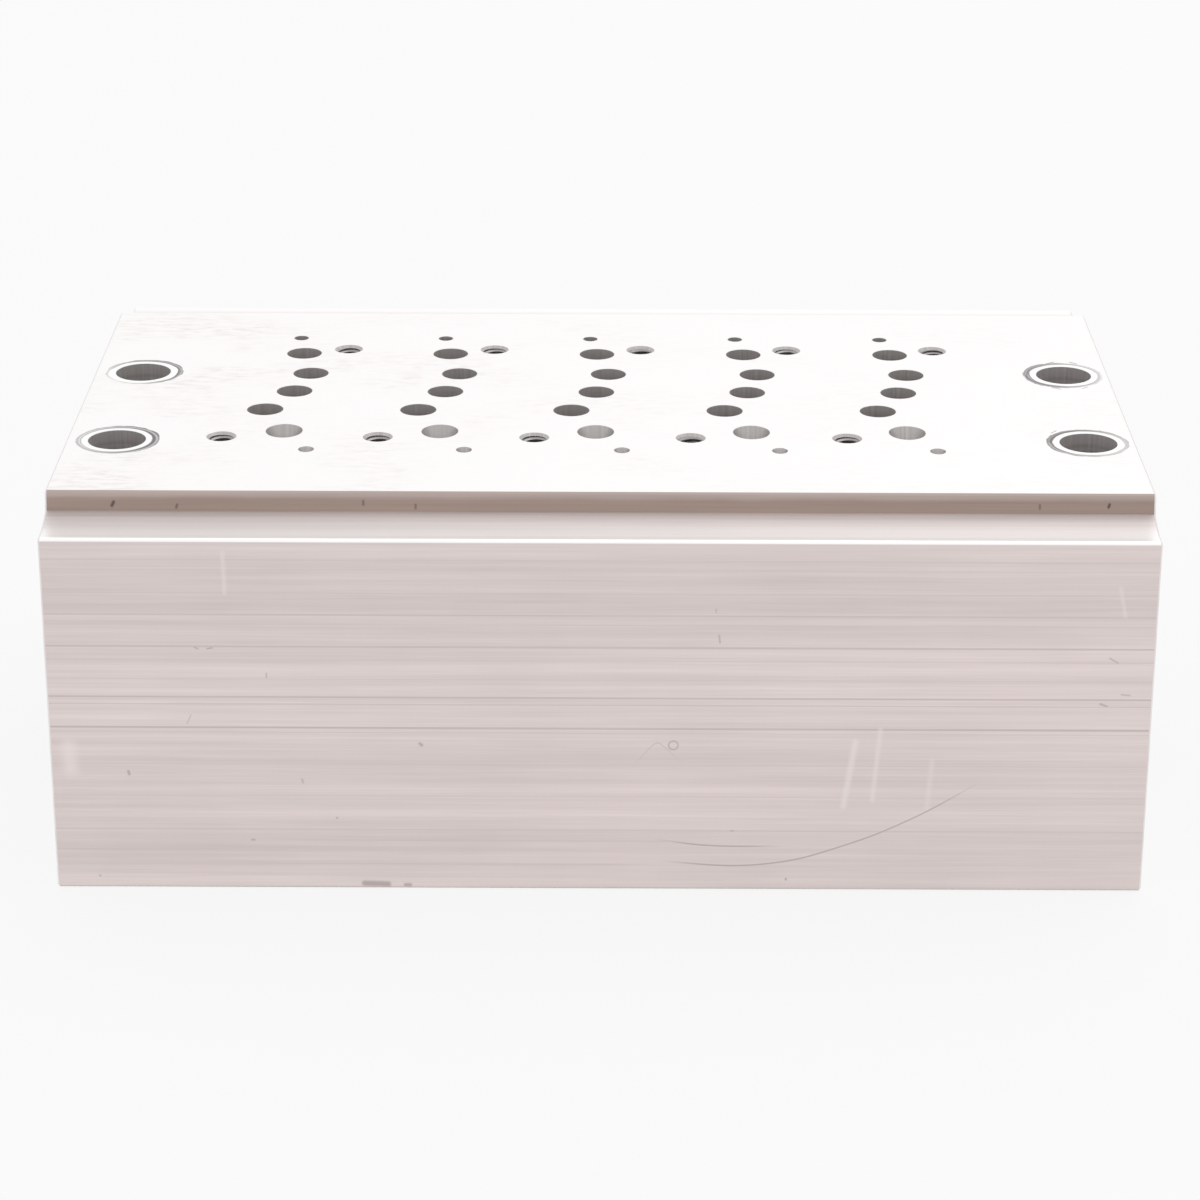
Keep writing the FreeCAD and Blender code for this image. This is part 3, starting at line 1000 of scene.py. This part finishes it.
def mouth_of(mount):
    """A stated hole's mouth on the block's outer face, its axis, and how deep its sink is."""
    axis = Vector(mount["axis"])
    middle = Vector(mount["pos_m"])
    index = max(range(3), key=lambda i: abs(axis[i]))
    face = cad_box[1][index] if axis[index] > 0 else cad_box[0][index]
    mouth = middle.copy()
    mouth[index] = face
    half = mount["dims"]["length_mm"] * MM / 2
    sink = (mouth - middle).length - half
    return mouth, axis, sink


def stated_threads(prefixes, name, sizes):
    """Cuts the threads of every tapped hole whose name starts with one of the prefixes."""
    chosen = [mount for key, mount in mounts.items()
              if mount["kind"] == "threaded_hole" and key.startswith(prefixes)]
    if not chosen:
        raise RuntimeError(f"the frame states no hole for {name}")
    mouths = [mouth_of(mount)[:2] for mount in chosen]
    sink = mouth_of(chosen[0])[2]
    major_radius = chosen[0]["dims"]["r_mm"] * MM
    depth = sink + chosen[0]["dims"]["length_mm"] * MM
    return cut_threads(name, mouths, sizes, major_radius, major_radius + sink, depth,
                       cut_metal())


def cut_metal():
    """The threads' material, made once."""
    return (bpy.data.materials.get("cut_aluminium")
            or thread_material(bpy.context.scene.manifold_finish))


# ---------------------------------------------------------------- studio


class StudioSettings(bpy.types.PropertyGroup):
    """Where the camera stands and how the block is lit."""

    azimuth: FloatProperty(name="Azimuth", description="How far round to the right the camera is",
                           default=math.radians(0.206), subtype="ANGLE")
    elevation: FloatProperty(name="Elevation", description="How steeply the camera looks down",
                             default=math.radians(21.864), subtype="ANGLE")
    roll: FloatProperty(name="Roll", description="How far the camera leans",
                        default=math.radians(0.137), subtype="ANGLE")
    aim: FloatVectorProperty(name="Aim", description="The point in the middle of the view",
                             default=(-0.13 * MM, 0.0, 19.19 * MM), subtype="TRANSLATION", size=3)
    distance: FloatProperty(name="Distance", description="From the camera to that point",
                            default=462.8 * MM, unit="LENGTH")
    lens: FloatProperty(name="Lens", description="Focal length on a 36 mm sensor",
                        default=107.38, unit="CAMERA")
    room_strength: FloatProperty(name="Room", description="Light of the white room",
                                 default=0.8, min=0.0)
    lamp_power: FloatProperty(name="Lamp", description="Power of the soft lamp overhead",
                              default=1.2, unit="POWER", min=0.0)


def add_camera(studio):
    """The camera, at the block's front and a little above it."""
    data = bpy.data.cameras.new("camera")
    data.lens = studio.lens
    data.sensor_width = 36.0
    data.clip_start = 0.01
    data.clip_end = 50.0
    camera = bpy.data.objects.new("camera", data)
    turn = (Matrix.Rotation(studio.azimuth, 4, "Z")
            @ Matrix.Rotation(math.pi / 2 - studio.elevation, 4, "X")
            @ Matrix.Rotation(studio.roll, 4, "Z"))
    back = turn.to_3x3() @ Vector((0, 0, studio.distance))
    camera.matrix_world = Matrix.Translation(Vector(studio.aim) + back) @ turn
    bpy.context.scene.collection.objects.link(camera)
    bpy.context.scene.camera = camera


def add_sheet(name, corners, material):
    """A flat stage piece through four corners."""
    mesh = bpy.data.meshes.new(name)
    mesh.from_pydata(corners, [], [(0, 1, 2, 3)])
    mesh.materials.append(material)
    sheet = bpy.data.objects.new(name, mesh)
    bpy.context.scene.collection.objects.link(sheet)
    return sheet


def seen_directly(nodes):
    """1 for a ray from the camera, or one mirrored or let through by the object."""
    path = nodes.add("ShaderNodeLightPath").outputs
    return strongest(nodes, (path["Is Camera Ray"], path["Is Glossy Ray"],
                             path["Is Transmission Ray"]))


def floor_material():
    """White paper: its own white shows, and a little of the block's soft shadow."""
    material = bpy.data.materials.new("white_paper")
    material.use_nodes = True
    tree = material.node_tree
    tree.nodes.clear()
    nodes = Nodes(tree)
    paper = nodes.add("ShaderNodeBsdfDiffuse", {0: (0.90, 0.90, 0.90, 1.0)})
    white = nodes.add("ShaderNodeEmission", {0: (1.0, 1.0, 1.0, 1.0), 1: 1.0})
    share = nodes.product(seen_directly(nodes), 0.80)
    mixed = nodes.add("ShaderNodeMixShader", {0: share, 1: paper.outputs[0],
                                              2: white.outputs[0]})
    nodes.add("ShaderNodeOutputMaterial", {0: mixed.outputs[0]})
    material.cycles.emission_sampling = "NONE"
    return material


def light_room(studio):
    """The white room around the block."""
    world = bpy.data.worlds.new("white_room")
    bpy.context.scene.world = world
    world.use_nodes = True
    tree = world.node_tree
    tree.nodes.clear()
    nodes = Nodes(tree)
    strength = nodes.blend(seen_directly(nodes), studio.room_strength, 1.0)
    background = nodes.add("ShaderNodeBackground", {0: (1.0, 1.0, 1.0, 1.0), 1: strength})
    nodes.add("ShaderNodeOutputWorld", {0: background.outputs[0]})


def add_lamp(name, place, aim, size, power):
    """A soft square lamp at a place, turned to a point."""
    data = bpy.data.lights.new(name, "AREA")
    data.shape = "SQUARE"
    data.size = size
    data.energy = power
    lamp = bpy.data.objects.new(name, data)
    lamp.location = place
    lamp.rotation_euler = (Vector(aim) - Vector(place)).to_track_quat("-Z", "Y").to_euler()
    bpy.context.scene.collection.objects.link(lamp)


# ---------------------------------------------------------------- operators


class FinishBlock(bpy.types.Operator):
    """Gives the block its worn aluminium."""

    bl_idname = "manifold.finish_block"
    bl_label = "Finish Block"

    def execute(self, context):
        material = aluminium_material(context.scene.manifold_finish)
        block.data.materials.clear()
        block.data.materials.append(material)
        return {"FINISHED"}


class CutValveThreads(bpy.types.Operator):
    """Cuts the two screw threads of every valve station."""

    bl_idname = "manifold.cut_valve_threads"
    bl_label = "Cut Valve Threads"

    def execute(self, context):
        stations = [mount for key, mount in mounts.items() if key.endswith("_screws")]
        if not stations:
            raise RuntimeError("the frame states no valve screws")
        mouths = []
        for mount in stations:
            half_circle = mount["dims"]["pcd_mm"] / 2
            rise = math.sqrt(half_circle ** 2 - VALVE_SCREW_SIDE ** 2)
            diagonal = Vector((VALVE_SCREW_SIDE, rise, 0)) * MM
            for side in (-1, 1):
                mouths.append((Vector(mount["pos_m"]) + side * diagonal, Vector((0, 0, 1))))
        cut_threads("valve_threads", mouths, context.scene.manifold_valve_thread,
                    stations[0]["dims"]["hole_r_mm"] * MM, VALVE_SINK / 2 * MM,
                    VALVE_DEPTH * MM, cut_metal())
        return {"FINISHED"}


class CutPilotThreads(bpy.types.Operator):
    """Cuts the threads at both ends of the pilot galleries."""

    bl_idname = "manifold.cut_pilot_threads"
    bl_label = "Cut Pilot Threads"

    def execute(self, context):
        stated_threads(("pilot_",), "pilot_threads", context.scene.manifold_pilot_thread)
        return {"FINISHED"}


class CutOutletThreads(bpy.types.Operator):
    """Cuts the threads of the outlets in the rear face."""

    bl_idname = "manifold.cut_outlet_threads"
    bl_label = "Cut Outlet Threads"

    def execute(self, context):
        stated_threads(("outlet_",), "outlet_threads", context.scene.manifold_outlet_thread)
        return {"FINISHED"}


class CutGalleryThreads(bpy.types.Operator):
    """Cuts the threads at both ends of the supply and exhaust galleries."""

    bl_idname = "manifold.cut_gallery_threads"
    bl_label = "Cut Gallery Threads"

    def execute(self, context):
        stated_threads(("supply_", "exhaust_"), "gallery_threads",
                       context.scene.manifold_gallery_thread)
        return {"FINISHED"}


class SetStudio(bpy.types.Operator):
    """Sets the white floor, the lamps and the camera."""

    bl_idname = "manifold.set_studio"
    bl_label = "Set Studio"

    def execute(self, context):
        studio = context.scene.manifold_studio
        context.scene.view_settings.view_transform = "Standard"
        floor_half = 4.0
        floor_z = cad_box[0][2] - 0.02 * MM
        add_sheet("floor", [(-floor_half, -floor_half, floor_z), (floor_half, -floor_half, floor_z),
                            (floor_half, floor_half, floor_z), (-floor_half, floor_half, floor_z)],
                  floor_material())
        light_room(studio)
        add_lamp("overhead", (0.25, 0.35, 0.9), (0, 0, 0.03), 0.8, studio.lamp_power)
        add_camera(studio)
        return {"FINISHED"}


class ManifoldPanel(bpy.types.Panel):
    """Lists what the add-on makes, in the order that it is made."""

    bl_idname = "MANIFOLD_PT_steps"
    bl_label = "Manifold Block"
    bl_space_type = "VIEW_3D"
    bl_region_type = "UI"
    bl_category = "Manifold"

    def draw(self, context):
        for operator in OPERATORS:
            self.layout.operator(operator.bl_idname)


OPERATORS = (FinishBlock, CutValveThreads, CutPilotThreads, CutOutletThreads,
             CutGalleryThreads, SetStudio)
CLASSES = (AluminiumFinish, ThreadSizes, StudioSettings, *OPERATORS, ManifoldPanel)


def register():
    for cls in CLASSES:
        bpy.utils.register_class(cls)
    scene = bpy.types.Scene
    scene.manifold_finish = PointerProperty(type=AluminiumFinish)
    scene.manifold_studio = PointerProperty(type=StudioSettings)
    for kind in THREADS:
        setattr(scene, f"manifold_{kind}_thread", PointerProperty(type=ThreadSizes))


def unregister():
    scene = bpy.types.Scene
    for kind in THREADS:
        delattr(scene, f"manifold_{kind}_thread")
    del scene.manifold_studio
    del scene.manifold_finish
    for cls in reversed(CLASSES):
        bpy.utils.unregister_class(cls)


def set_thread_sizes(scene):
    """Gives each kind of thread its own pitch and tapping drill."""
    for kind, (pitch, drill, steps) in THREADS.items():
        sizes = getattr(scene, f"manifold_{kind}_thread")
        sizes.pitch = pitch * MM
        sizes.tap_drill = drill * MM
        sizes.steps = steps


def main():
    register()
    set_thread_sizes(bpy.context.scene)
    for operator in OPERATORS:
        group, name = operator.bl_idname.split(".")
        getattr(getattr(bpy.ops, group), name)()


if __name__ == "__main__":
    main()
